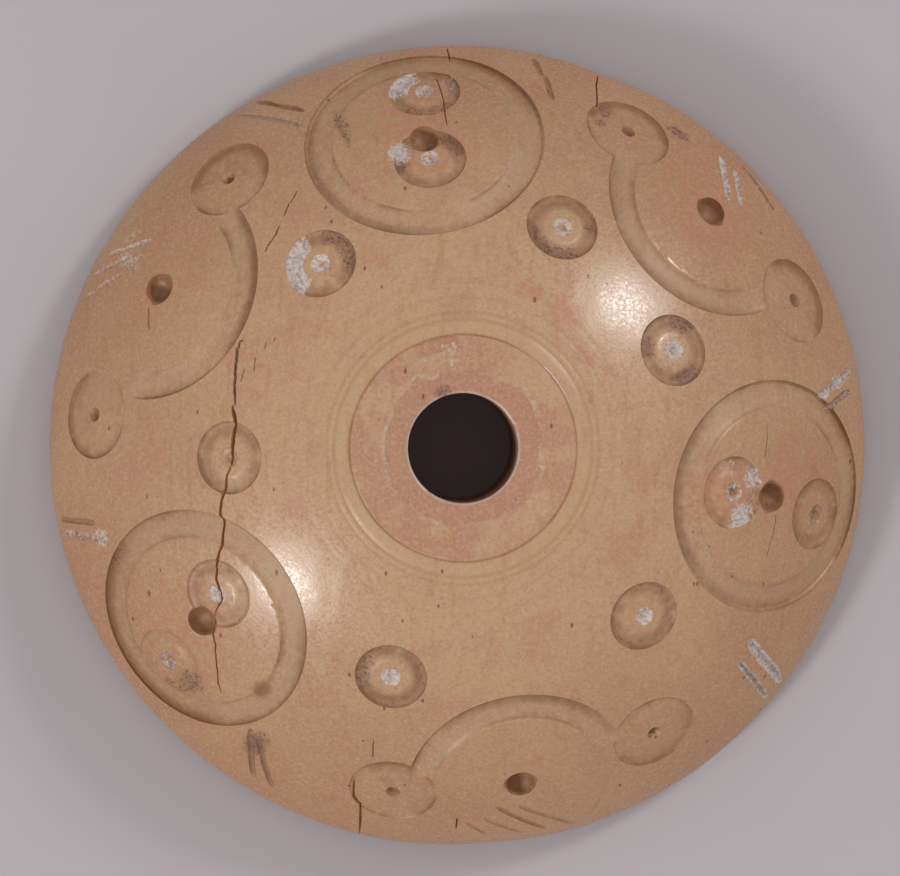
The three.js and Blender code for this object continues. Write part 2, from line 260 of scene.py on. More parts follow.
STROKES = (
    Stroke((0.2, -36.7), (3.0, -34.2), 0.5, 0.16, (0.3, 0.76, 0.6)),
    Stroke((0.3, -39.8), (2.8, -38.0), 0.38, 0.16, (0.4, 0.7, 0.6)),
    Stroke((0.4, 11.0), (2.3, 8.2), 0.4, 0.12, (0.4, 0.6, 0.6)),
    Stroke((0.6, 8.3), (2.0, 6.0), 0.34, 0.12, (0.6, 0.4, 0.6)),
    Stroke((0.3, 79.2), (1.2, 77.6), 0.3, 0.1, (0.5, 0.0, 0.0)),
    Stroke((1.1, 77.2), (2.3, 75.2), 0.28, 0.1, (0.5, 0.0, 0.3)),
    Stroke((0.2, 120.0), (1.8, 114.3), 0.32, 0.12, (0.5, 0.0, 0.4)),
    Stroke((0.2, 123.4), (2.5, 115.3), 0.36, 0.12, (0.2, 0.4, 0.4)),
    Stroke((0.3, -167.5), (2.4, -164.8), 0.4, 0.13, (0.3, 0.5, 0.3)),
    Stroke((0.2, -169.4), (1.9, -168.0), 0.3, 0.1, (0.5, 0.2, 0.3)),
    Stroke((0.7, -118.0), (2.6, -124.6), 0.34, 0.14, (0.4, 0.2, 0.4)),
    Stroke((0.7, -121.2), (2.8, -126.3), 0.36, 0.14, (0.4, 0.2, 0.5)),
    Stroke((0.7, 48.6), (2.1, 42.6), 0.36, 0.12, (0.4, 0.78, 0.5)),
    Stroke((0.7, 45.6), (1.8, 40.9), 0.3, 0.12, (0.4, 0.76, 0.5)),
    Stroke((0.3, 44.5), (0.6, 37.0), 0.28, 0.1, (0.8, 0.3, 0.4)),
    Stroke((0.2, 158.5), (1.5, 152.3), 0.26, 0.1, (0.3, 0.4, 0.3)),
    Stroke((0.2, 154.6), (1.4, 149.8), 0.26, 0.1, (0.3, 0.5, 0.3)),
    Stroke((0.4, 151.2), (1.9, 145.6), 0.3, 0.1, (0.2, 0.6, 0.3)),
    Stroke((0.3, -73.0), (2.0, -81.0), 0.26, 0.08, (0.3, 0.0, 0.2)),
    Stroke((0.4, -77.2), (2.1, -84.6), 0.28, 0.08, (0.5, 0.0, 0.3)),
    Stroke((0.4, -80.7), (1.5, -86.4), 0.26, 0.07, (0.3, 0.0, 0.2)),
    Stroke((0.5, -85.6), (1.3, -89.0), 0.24, 0.06, (0.3, 0.0, 0.1)),
)

# Cracks: (distance from the axis, degrees) along each one, then width, depth and fill
Crack = namedtuple("Crack", "places width depth fill")

CRACKS = (
    Crack(((15.9, 226.5), (15.0, 222.0), (14.2, 217.5), (13.5, 214.0)), 0.09, 0.12, (1.0, 0.0, 0.2)),
    Crack(((13.6, 214.4), (12.9, 212.6), (12.8, 210.5), (12.3, 205.5), (11.7, 202.0), (11.35, 197.5),
           (11.4, 195.5), (11.0, 191.5), (10.8, 188.0), (10.4, 184.0)), 0.14, 0.2, (1.0, 0.0, 0.0)),
    Crack(((10.45, 184.8), (10.35, 178.0), (10.35, 173.0), (10.5, 169.0)), 0.17, 0.2, (0.9, 0.0, 0.1)),
    Crack(((10.45, 170.0), (10.75, 162.0), (11.1, 156.0), (11.1, 153.0)), 0.15, 0.12, (0.2, 0.1, 0.9)),
    Crack(((12.6, 135.2), (12.9, 131.0), (13.15, 128.6)), 0.08, 0.1, (1.0, 0.0, 0.0)),
    Crack(((13.3, 127.4), (13.7, 124.5), (14.0, 122.0)), 0.08, 0.1, (1.0, 0.0, 0.0)),
    Crack(((18.9, 91.6), (18.2, 91.2)), 0.06, 0.08, (0.9, 0.0, 0.0)),
    Crack(((17.5, 93.6), (16.9, 93.2), (16.3, 92.7), (15.4, 92.6), (14.8, 92.3)), 0.06, 0.08,
          (1.0, 0.0, 0.0)),
    Crack(((10.4, 163.8), (10.5, 159.5)), 0.06, 0.03, (0.8, 0.0, 0.0)),
    Crack(((10.0, 160.3), (10.2, 155.9)), 0.06, 0.03, (0.8, 0.0, 0.0)),
    Crack(((10.0, 153.5), (10.1, 151.4)), 0.05, 0.03, (0.8, 0.0, 0.0)),
    Crack(((9.3, 122.0), (10.0, 120.5)), 0.06, 0.03, (0.7, 0.0, 0.0)),
    Crack(((18.9, 69.7), (18.2, 69.4), (17.1, 68.2)), 0.08, 0.14, (1.0, 0.0, 0.0)),
    Crack(((19.0, 256.0), (18.3, 255.6), (17.4, 254.8), (17.1, 253.4), (16.2, 252.6)), 0.12, 0.14,
          (1.0, 0.0, 0.0)),
    Crack(((15.0, 254.5), (14.0, 253.5)), 0.05, 0.05, (0.8, 0.0, 0.0)),
    Crack(((17.4, 269.7), (18.1, 269.6)), 0.08, 0.1, (0.7, 0.0, 0.0)),
    Crack(((15.7, 155.2), (15.2, 159.3)), 0.08, 0.05, (0.9, 0.0, 0.0)),
    Crack(((14.0, 4.9), (13.95, 1.0), (13.9, -2.8)), 0.04, 0.03, (0.8, 0.0, 0.0)),
    Crack(((14.8, -11.9), (14.85, -16.0), (14.9, -20.7)), 0.04, 0.03, (0.8, 0.0, 0.0)),
)

# Patches on the surface: kind, distance from the axis, degrees, size along and across the radius, strength.
# Among them the fourth kind is a pink blotch.
BLUSH = 3
PATCHES = (
    (BLUSH, 7.7, 66.0, 0.5, 0.8, 0.8),
    (BLUSH, 7.6, 53.0, 0.7, 0.9, 1.0),
    (BLUSH, 7.0, 38.0, 0.5, 0.8, 0.8),
    (BLUSH, 7.4, 27.0, 0.7, 0.6, 0.4),
    (BLUSH, 8.6, 140.0, 0.9, 0.6, 0.5),
    (BLUSH, 9.6, 162.0, 0.8, 1.4, 0.45),
    (BLUSH, 10.5, 95.0, 0.6, 1.5, 0.4),
    (BLUSH, 9.0, -25.0, 0.8, 1.0, 0.4),
    (BLUSH, 12.0, -10.0, 2.0, 1.6, 0.7),
    (BLUSH, 15.2, -6.0, 1.4, 2.2, 0.55),
    (BLUSH, 14.3, 97.0, 2.0, 2.4, 0.6),
    (BLUSH, 14.6, 214.0, 2.0, 2.4, 0.5),
    (BLUSH, 15.5, 44.0, 2.0, 2.5, 0.55),
    (BLUSH, 15.0, 152.0, 2.0, 2.6, 0.3),
    (BLUSH, 15.5, -80.0, 1.6, 2.6, 0.35),
    (GRIME, 17.9, 55.4, 0.2, 0.6, 0.9),
    (CHALK, 13.8, 101.7, 0.45, 0.45, 1.0),
    (CHALK, 13.2, -12.5, 0.5, 0.3, 0.8),
    (GRIME, 16.5, 221.5, 0.5, 0.6, 0.8),
    (BROWN, 14.4, 231.0, 0.4, 0.4, 0.8),
    (GRIME, 15.7, 110.0, 0.9, 0.25, 0.8),
    (GRIME, 17.1, 66.8, 0.3, 0.3, 0.8),
    (GRIME, 16.4, 66.8, 0.25, 0.25, 0.8),
    (GRIME, 16.7, 236.0, 0.6, 0.5, 0.9),
    (CHALK, 17.0, 194.5, 0.3, 0.45, 0.7),
    (CHALK, 17.8, 10.0, 0.3, 0.3, 0.8),
    (CHALK, 17.0, 8.0, 0.25, 0.25, 0.8),
    (CHALK, 17.5, 150.0, 0.6, 0.5, 0.5),
    (CHALK, 18.0, 146.5, 0.3, 0.4, 0.45),
    (GRIME, 2.7, 110.0, 0.25, 0.35, 0.9),
    (CHALK, 4.6, 97.0, 0.2, 0.4, 0.4),
    (CHALK, 3.8, 96.0, 0.25, 0.2, 0.4),
)

# Wear of the turned surface: how deep the broad and the fine hollows go
BROAD_WEAR = 0.016
FINE_WEAR = 0.008

# Up to this distance from the axis the dome is flat enough for its full wear; beyond it a share is left
FLATTER_TO = COLLAR_RADIUS + 4
STEEP_SHARE = 0.8

# A length that counts as none
HAIR = 0.001

# Rubbed flats of the rim: middle and half width in degrees, depth; they end between two heights
RIM_FLATS = ((70, 7, 0.13), (275, 8, 0.1))
FLATS_FULL = 1.5
FLATS_END = 5.0

# The worn collar: a sunk inner ring, and a flaked patch over some degrees outside it
INNER_RING_EDGE = 3.52
INNER_RING_DEPTH = 0.05
FLAKE_EDGE = 4.42
FLAKE_DEPTH = 0.08
FLAKE_STARTS = (90, 95)
FLAKE_ENDS = (114, 121)
PIT_DEPTH = 0.15
COLLAR_UNEVEN = 0.012

# Rounds in which a place is found on the oval turning, and halvings in which one is found on the dome
OVAL_ROUNDS = 5
HALVINGS = 34


def oval_at(r):
    """How much the turning is squeezed along Y at a distance from the axis."""
    share = np.clip((r - CORE_RADIUS) / (GIRTH_RADIUS - CORE_RADIUS), 0, 1)
    return 1 - (1 - OVAL) * share


def dome_height(r):
    """Height of the dome; past the girth it drops away, for cutters that overhang."""
    inside = 1 - (np.minimum(r, GIRTH_RADIUS) / GIRTH_RADIUS) ** 2
    dome = GIRTH_HEIGHT + DOME_RISE * inside ** DOME_POWER
    past = 3 * np.maximum(r - GIRTH_RADIUS, 0)
    return np.where(r <= COLLAR_RADIUS, HEIGHT, dome - past)


def turned_radius(x, y):
    """Distance from the axis before the oval squeeze."""
    r = np.hypot(x, y)
    for _ in range(OVAL_ROUNDS):
        r = np.hypot(x, y / oval_at(r))
    return r


def height_above(points):
    return points[:, 2] - dome_height(turned_radius(points[:, 0], points[:, 1]))


def on_dome(inset, degrees):
    """The point of the dome at a place."""
    r = GIRTH_RADIUS - inset
    angle = math.radians(degrees)
    return np.array((r * math.cos(angle), r * math.sin(angle) * oval_at(r), float(dome_height(r))))


def dome_normal(point):
    """The outward normal of the dome near a point."""
    step = 0.01
    around = np.array([point] * 4)
    around[0, 0] += step
    around[1, 0] -= step
    around[2, 1] += step
    around[3, 1] -= step
    drop = height_above(around)
    normal = np.array((drop[0] - drop[1], drop[2] - drop[3], 2 * step))
    return normal / np.linalg.norm(normal)


def lean_out(point, degrees):
    """A direction that leans out from the Z axis over a point."""
    angle = math.radians(degrees)
    out = math.atan2(point[1], point[0])
    return np.array((
        math.sin(angle) * math.cos(out),
        math.sin(angle) * math.sin(out),
        math.cos(angle),
    ))


def drop_on_dome(points, axis):
    """Slides points along an axis until they meet the dome."""
    above = np.full(len(points), GIRTH_RADIUS)
    below = -above
    for _ in range(HALVINGS):
        middle = (above + below) / 2
        outside = height_above(points + middle[:, None] * axis) > 0
        above = np.where(outside, middle, above)
        below = np.where(outside, below, middle)
    return points + above[:, None] * axis


def arc_weight(angles, start, end):
    """1 between two angles in degrees and 0 outside them, with soft ends."""
    away = np.abs((angles - (start + end) / 2 + 180) % 360 - 180)
    return np.clip((end - start + SOFT_END - 2 * away) / (2 * SOFT_END), 0, 1)


def deselect_all():
    if bpy.context.object and bpy.context.object.mode != "OBJECT":
        bpy.ops.object.mode_set(mode="OBJECT")
    bpy.ops.object.select_all(action="DESELECT")


def select_only(piece):
    deselect_all()
    piece.select_set(True)
    bpy.context.view_layer.objects.active = piece


def coordinates(piece):
    flat = np.empty(len(piece.data.vertices) * 3, np.float32)
    piece.data.vertices.foreach_get("co", flat)
    return flat.reshape(-1, 3).astype(float)


def set_coordinates(piece, places):
    piece.data.vertices.foreach_set("co", np.asarray(places, np.float32).ravel())
    piece.data.update()


def shaped_grid(name, places, paint):
    """A sheet of faces through rows of places, painted at each place, with doubled places merged."""
    rows, columns = places.shape[:2]
    deselect_all()
    bpy.ops.mesh.primitive_grid_add(x_subdivisions=columns - 1, y_subdivisions=rows - 1, size=1.0)
    sheet = bpy.context.object
    sheet.name = name
    flat = coordinates(sheet)
    column = np.rint((flat[:, 0] + 0.5) * (columns - 1)).astype(int)
    row = np.rint((flat[:, 1] + 0.5) * (rows - 1)).astype(int)
    set_coordinates(sheet, places[row, column])
    layer = sheet.data.attributes.new("fill_points", "FLOAT_COLOR", "POINT")
    layer.data.foreach_set("color", paint[row, column].astype(np.float32).ravel())
    bpy.ops.object.mode_set(mode="EDIT")
    bpy.ops.mesh.select_all(action="SELECT")
    bpy.ops.mesh.remove_doubles(threshold=0.0001)
    bpy.ops.object.mode_set(mode="OBJECT")
    return sheet


def thicken(sheet, direction):
    """Raises a sheet along a direction and closes it to a solid."""
    select_only(sheet)
    bpy.ops.object.mode_set(mode="EDIT")
    bpy.ops.mesh.select_all(action="SELECT")
    bpy.ops.mesh.extrude_region_move(
        TRANSFORM_OT_translate={"value": Vector(direction)},
    )
    bpy.ops.object.mode_set(mode="OBJECT")


def close_cutter(cutter):
    """Turns a cutter's faces outwards and moves its paint to the corners, where a cut keeps it crisp."""
    select_only(cutter)
    bpy.ops.object.mode_set(mode="EDIT")
    bpy.ops.mesh.select_all(action="SELECT")
    bpy.ops.mesh.normals_make_consistent(inside=False)
    bpy.ops.object.mode_set(mode="OBJECT")
    mesh = cutter.data
    points = np.empty(len(mesh.vertices) * 4, np.float32)
    mesh.attributes["fill_points"].data.foreach_get("color", points)
    corners = np.empty(len(mesh.loops), np.int32)
    mesh.loops.foreach_get("vertex_index", corners)
    mesh.attributes.remove(mesh.attributes["fill_points"])
    layer = mesh.attributes.new("fill", "FLOAT_COLOR", "CORNER")
    layer.data.foreach_set("color", points.reshape(-1, 4)[corners].ravel())
    return cutter


def cut_all(body, cutters, name):
    """Takes all cutters out of the body at once and throws them away."""
    group = bpy.data.collections.new(name)
    bpy.context.scene.collection.children.link(group)
    for cutter in cutters:
        for home in list(cutter.users_collection):
            home.objects.unlink(cutter)
        group.objects.link(cutter)
    before = len(body.data.polygons)
    select_only(body)
    modifier = body.modifiers.new(name, "BOOLEAN")
    modifier.operation = "DIFFERENCE"
    modifier.solver = "MANIFOLD"
    modifier.operand_type = "COLLECTION"
    modifier.collection = group
    bpy.ops.object.modifier_apply(modifier=modifier.name)
    for cutter in cutters:
        bpy.data.objects.remove(cutter)
    bpy.data.collections.remove(group)
    if len(body.data.polygons) == before:
        raise RuntimeError(f"{name} cut nothing")
    print(name, len(body.data.polygons))


def faded(turn):
    """Share of its depth that a strokes ring keeps at each angle."""
    degrees = np.abs((np.degrees(turn) + 180) % 360 - 180)
    share = np.clip((degrees - FADED_ANGLE) / (FULL_ANGLE - FADED_ANGLE), 0, 1)
    return FADED_SHARE + (1 - FADED_SHARE) * share * share * (3 - 2 * share)


def kept_depth(ring, turn, offsets, fades, least_kept):
    """Share of its depth that a ring groove keeps, at each angle and each offset across it."""
    kept = np.ones((len(turn), len(offsets)))
    if fades:
        least = np.where(offsets > INNER_STEP, INNER_SHARE, 0.0)
        kept = np.maximum(faded(turn)[:, None], least)
    stained = np.zeros(len(turn))
    for kind, start, end, _ in ring.arcs:
        if kind == BROWN:
            stained = np.maximum(stained, arc_weight(np.degrees(turn), start, end))
    return kept * ring.deep * (least_kept + (1 - least_kept) * stained)[:, None]


def groove_paint(ring, turn, offsets, corner, patchy, kept, dust):
    """What lies in a ring groove, at each angle and each offset across it."""
    paint = np.zeros((len(turn), len(offsets), 4))
    # Brown from the section: stain, and painted shade darkening the groove's corners
    paint[:, :, BROWN] = np.clip(kept * patchy[:, None] * corner, 0, BROWN_LIMIT)
    paint[:, :, DUST] = dust * np.minimum(kept, 1)
    outer_corner = np.interp(offsets, CORNER_OFFSETS, CORNER_STRENGTHS)
    outer_half = np.interp(offsets, HALF_OFFSETS, HALF_STRENGTHS)
    for kind, start, end, strength in ring.arcs:
        weight = strength * arc_weight(np.degrees(turn), start, end)
        spread = outer_corner
        if kind == CHALK:
            spread = np.ones(len(offsets))
        elif kind == GRIME or end - start > ALL_ROUND:
            spread = outer_half
        paint[:, :, kind] = np.maximum(paint[:, :, kind], weight[:, None] * spread)
    return paint


def ring_cutter(name, ring, radius, lean, section, steps, dust, fades=False, least_kept=1.0):
    """A ring groove drawn with a compass that stands on the dome and leans out."""
    centre = on_dome(ring.inset, ring.degrees)
    axis = lean_out(centre, lean)
    across = np.cross((0, 0, 1), axis)
    across /= np.linalg.norm(across)
    outward = np.cross(across, axis)
    turn = np.linspace(0, 2 * math.pi, steps + 1)
    arms = ring.long * np.cos(turn)[:, None] * outward + ring.wide * np.sin(turn)[:, None] * across
    offsets, lifts, corner = np.array(section).T
    kept = kept_depth(ring, turn, offsets, fades, least_kept)
    columns = []
    for index, (offset, lift) in enumerate(zip(offsets, lifts)):
        landed = drop_on_dome(centre + (radius - offset) * arms, axis)
        raised = lift * kept[:, index] if lift < 0 else np.full(steps + 1, lift)
        columns.append(landed + raised[:, None] * axis)
    places = np.stack(columns, axis=1)
    places[-1] = places[0]
    patchy = np.array([
        PATCHY_MEAN + PATCHY_RANGE * noise.noise(Vector((*(centre + 2.0 * arm),))) for arm in arms])
    paint = groove_paint(ring, turn, offsets, corner, patchy, kept, dust)
    cutter = shaped_grid(name, places, paint)
    thicken(cutter, axis * PROUD)
    return close_cutter(cutter)


def hole_paint(ring, places, centre, out_share, width):
    """Hole or dot: a chalk ring round its middle, and brown stain and painted shade thinning towards the
    rim.
    """
    paint = np.tile(np.array((*ring.dot[:3], 0.0)), (*places.shape[:2], 1))
    middle = ring.dot[3] if len(ring.dot) > 3 else MIDDLE_CHALK
    paint[:, :, CHALK] *= np.interp(out_share, (0.1, 0.45, 0.7, 0.85), (middle, 1.0, 1.0, 0.2))
    paint[:, :, BROWN] *= np.clip(1.2 - 0.5 * out_share, 0.5, 1.0)
    at_the_lip = np.interp(out_share, (0.65, 0.8), (0.0, 0.7))
    paint[:, :, BROWN] = np.maximum(paint[:, :, BROWN], at_the_lip)
    # Painted shade: the brown is made stronger on the bore side of the hole and thins towards the rim
    out = np.array((centre[0], centre[1], 0.0)) / np.hypot(centre[0], centre[1])
    towards_rim = (places - centre) @ out / width
    paint[:, :, BROWN] *= np.clip(0.8 - 0.7 * towards_rim, 0.25, 1.0)
    return paint


def hole_cutter(name, ring, lean, profile):
    """A drilled hole or dot, turned about the drill's axis."""
    centre = on_dome(ring.inset, ring.degrees)
    axis = Vector(lean_out(centre, lean))
    turn = np.linspace(0, 2 * math.pi, HOLE_STEPS + 1)
    drill_turn = np.array(axis.to_track_quat("Z", "Y").to_matrix())
    columns = []
    for r, lift in profile:
        circle = np.stack((r * np.cos(turn), r * np.sin(turn), np.full(HOLE_STEPS + 1, lift)), axis=1)
        columns.append(circle @ drill_turn.T + centre)
    places = np.stack(columns, axis=1)
    places[-1] = places[0]
    width = profile[-2][0]
    out_share = np.array([r for r, _ in profile]) / width
    return close_cutter(shaped_grid(name, places, hole_paint(ring, places, centre, out_share, width)))


def square_lean(ring):
    """The lean of a compass that stands square to the dome."""
    normal = dome_normal(on_dome(ring.inset, ring.degrees))
    return math.degrees(math.acos(normal[2]))


GROOVE_ACROSS = np.array((-1.3, -1.0, -0.8, -0.45, 0.0, 0.45, 0.8, 1.0, 1.3))


def carved_surface(body):
    """The body's surface as it is now, for cuts that follow what is already carved."""
    return BVHTree.FromObject(body, bpy.context.evaluated_depsgraph_get())


def land(surface, point, normal):
    """The height of the carved surface over a point, along a normal."""
    hit = surface.ray_cast(Vector(point + normal * PROUD), Vector(-normal), 2 * PROUD)[0]
    return 0.0 if hit is None else float(np.dot(np.array(hit) - point, normal))


def groove_cutter(name, surface, points, widths, depth, fill, steep):
    """A cut that follows the carved surface through a row of points and runs out at both ends."""
    count = len(points)
    along = np.linspace(0, 1, count)
    kept = np.minimum(1, np.minimum(along, 1 - along) * RUN_OUT) ** 0.6
    shape = np.clip(1 - np.abs(GROOVE_ACROSS) ** steep, 0, 1)
    flats = np.empty((count, len(GROOVE_ACROSS), 3))
    heights = np.empty((count, len(GROOVE_ACROSS)))
    normals = np.array([dome_normal(point) for point in points])
    for i, point in enumerate(points):
        ahead = points[min(i + 1, count - 1)]
        behind = points[max(i - 1, 0)]
        sideways = np.cross(ahead - behind, normals[i])
        sideways /= np.linalg.norm(sideways)
        half = widths[i] / 2 * (0.35 + 0.65 * kept[i])
        for j, share in enumerate(GROOVE_ACROSS):
            flats[i, j] = point + sideways * half * share
            heights[i, j] = land(surface, flats[i, j], normals[i])
    heights[1:-1] = (heights[:-2] + 2 * heights[1:-1] + heights[2:]) / 4
    lifts = -depth * kept[:, None] * shape
    lifts[:, (0, -1)] = LIP_LIFT
    lifts[(0, -1), :] = LIP_LIFT
    places = flats + (heights + lifts)[:, :, None] * normals[:, None, :]
    paint = np.tile(np.array((*fill, 0.0)), (count, len(GROOVE_ACROSS), 1))
    cutter = shaped_grid(name, places, paint)
    up = normals.sum(axis=0)
    thicken(cutter, up / np.linalg.norm(up) * PROUD)
    return close_cutter(cutter)


def wander(seed, position, size):
    """A small steady wander, the same on every run."""
    return size * noise.noise(Vector((position, seed * 7.3, seed * 1.7)))


def stroke_cutter(index, surface, stroke):
    """A straight hand-cut stroke, a little uneven along its length."""
    count = 15
    share = np.linspace(0, 1, count)
    start = np.array(stroke.start)
    end = np.array(stroke.end)
    points = []
    widths = []
    for s in share:
        inset, degrees = start + (end - start) * s
        points.append(on_dome(inset, degrees + wander(index + 1, s * 3, 0.25)))
        widths.append(stroke.width * (1 + wander(index + 51, s * 4, 0.25)))
    return groove_cutter(f"stroke_{index}", surface, points, widths, stroke.depth, stroke.fill, 2.2)


def crack_cutter(index, surface, crack):
    """A crack along the grain, with a ragged course between its places."""
    radii = np.array([place[0] for place in crack.places])
    angles = np.array([place[1] for place in crack.places])
    run = np.concatenate(([0], np.cumsum(np.hypot(np.diff(radii), np.diff(np.radians(angles)) * radii[1:]))))
    count = max(8, int(run[-1] / 0.12))
    points = []
    widths = []
    for s in np.linspace(0, run[-1], count):
        r = np.interp(s, run, radii)
        degrees = np.interp(s, run, angles)
        side = wander(index + 101, s * CRACK_BENDS[0], CRACK_BENDS[1])
        side += wander(index + 131, s * CRACK_RAGS[0], CRACK_RAGS[1])
        points.append(on_dome(GIRTH_RADIUS - r - side, degrees))
        widths.append(crack.width * (1 + wander(index + 151, s * 2.3, 0.5)))
    return groove_cutter(f"crack_{index}", surface, points, widths, crack.depth, crack.fill, 1.6)


def body_profile():
    """The turned outline, all the way round: underside, foot, dome, collar and bore."""
    shape = bpy.context.scene.whorl_shape
    bore = shape.bore_diameter / MM / 2
    lip = shape.bore_lip / MM
    radius = GIRTH_RADIUS - CLEARANCE
    points = [(r, 0.0) for r in np.linspace(bore + lip, radius - FOOT_INSET, 12)[:-1]]
    for row in range(FOOT_ROWS + 1):
        angle = math.pi / 2 * row / FOOT_ROWS
        points.append((
            radius - FOOT_INSET * (1 - math.sin(angle)),
            GIRTH_HEIGHT * (1 - math.cos(angle)),
        ))
    line_rows = []
    for middle, half, _ in TURNED_LINES:
        line_rows += [middle + half * share for share in (-1.0, -0.5, 0.0, 0.5, 1.0)]
    last = TURNED_LINES[0][0] - TURNED_LINES[0][1]
    spread = np.sin(np.linspace(math.pi / 2, 0, DOME_ROWS + 1))
    dome_rows = [last + (radius - last) * share for share in spread]
    rows = sorted(set(np.round(dome_rows[1:-1] + line_rows, 4)), reverse=True)
    kept_rows = [rows[0]]
    for r in rows[1:]:
        if r in np.round(line_rows, 4) or kept_rows[-1] - r > 0.02:
            kept_rows.append(r)
    points += [(r, float(dome_height(r)) - CLEARANCE) for r in kept_rows]
    collar_rows = np.arange(last - COLLAR_STEP, bore + lip, -COLLAR_STEP)
    points += [(r, HEIGHT - CLEARANCE) for r in collar_rows]
    for share in (0.0, 0.3, 0.6, 1.0):
        angle = math.pi / 2 * share
        points.append((bore + lip * (1 - math.sin(angle)), HEIGHT - CLEARANCE - lip * (1 - math.cos(angle))))
    points += [(bore, z) for z in np.linspace(HEIGHT - CLEARANCE - lip, lip, BORE_ROWS + 2)[1:-1]]
    points += [(bore, lip), (bore + lip * 0.4, lip * 0.4)]
    return points


def surface_change(x, y, r, angle):
    """How far the turned surface is worn, broken or swollen at a place, in millimetres."""
    change = -BROAD_WEAR * (0.5 + noise.noise(Vector((x * 0.35, y * 0.25, 3.1))))
    change -= FINE_WEAR * (0.5 + noise.noise(Vector((x * 1.6, y * 0.9, 8.4))))
    for middle, half, depth in TURNED_LINES:
        away = abs(r - middle) / half
        if away < 1:
            uneven = 1 + 0.4 * noise.noise(Vector((x * 0.5, y * 0.5, middle)))
            change -= depth * uneven * (1 - away)
    if abs(r - BAND_MIDDLE) < BAND_HALF:
        change += BAND_SWELL * (1 - ((r - BAND_MIDDLE) / BAND_HALF) ** 2)
    if r < COLLAR_RADIUS:
        change -= collar_wear(x, y, r, angle)
    return change


def smooth_step(value, low, high):
    share = min(max((value - low) / (high - low), 0.0), 1.0)
    return share * share * (3 - 2 * share)


def collar_parts(x, y, r, angle):
    """How far a place of the collar lies in its sunk inner ring, in the flake and on a pale broken edge."""
    ragged = 0.35 * noise.noise(Vector((x * 0.9, y * 0.9, 5.5)))
    ragged += 0.12 * noise.noise(Vector((x * 3, y * 3, 1.5)))
    inner_edge = INNER_RING_EDGE + ragged
    inner = 1 - smooth_step(r, inner_edge - 0.06, inner_edge + 0.04)
    flake_edge = FLAKE_EDGE + ragged * 0.4
    around = smooth_step(angle, *FLAKE_STARTS) * (1 - smooth_step(angle, *FLAKE_ENDS))
    flake = around * smooth_step(r, flake_edge - 0.04, flake_edge + 0.06)
    broken = smooth_step(noise.noise(Vector((x * 0.7, y * 0.7, 31.0))), -0.15, 0.2)
    pale = broken * max(0.0, 1 - abs(r - inner_edge - 0.08) / 0.14)
    pale = max(pale, around * max(0.0, 1 - abs(r - flake_edge + 0.12) / 0.16))
    return inner, flake, pale


def collar_wear(x, y, r, angle):
    """How far the collar is worn down: its inner ring, the flake, small pits and a little all over."""
    inner, flake, _ = collar_parts(x, y, r, angle)
    pit = max(0.0, noise.noise(Vector((x * 2.4, y * 2.4, 22.0))) - 0.42)
    uneven = COLLAR_UNEVEN * (0.5 + noise.noise(Vector((x * 1.3, y * 1.3, 12.0))))
    return INNER_RING_DEPTH * inner + FLAKE_DEPTH * flake + PIT_DEPTH * pit + uneven


def outline_wear(angle, z):
    """How far the rim is rubbed in from the true turning."""
    flats = sum(depth * math.exp(-((angle - middle) / half) ** 2) for middle, half, depth in RIM_FLATS)
    return flats * (1 - smooth_step(z, FLATS_FULL, FLATS_END))


def worn(place, bore):
    """Where a turned place comes to lie after wear and the oval squeeze."""
    x, y, z = place
    r = math.hypot(x, y)
    angle = math.degrees(math.atan2(y, x)) % 360
    change = 0.0
    if z > GIRTH_HEIGHT + HAIR and r > bore + CLEARANCE:
        change = surface_change(x, y, r, angle) * (1.0 if r < FLATTER_TO else STEEP_SHARE)
    inward = outline_wear(angle, z) if r > CORE_RADIUS * 2 and z > HAIR else 0.0
    scale = (r - inward) / r
    return x * scale, y * (scale * float(oval_at(r))), z + change


class WhorlShape(bpy.types.PropertyGroup):
    """Sizes of the turned body"""
    bore_diameter: FloatProperty(
        name="Bore", description="Diameter of the bore", default=0.00495, unit="LENGTH", subtype="DISTANCE")
    bore_lip: FloatProperty(
        name="Bore lip", description="Width of the worn lip at the bore", default=0.00014,
        unit="LENGTH", subtype="DISTANCE")
    smooth_angle: FloatProperty(
        name="Smooth angle", description="Edges below this angle are shaded smooth",
        default=math.radians(38), subtype="ANGLE")


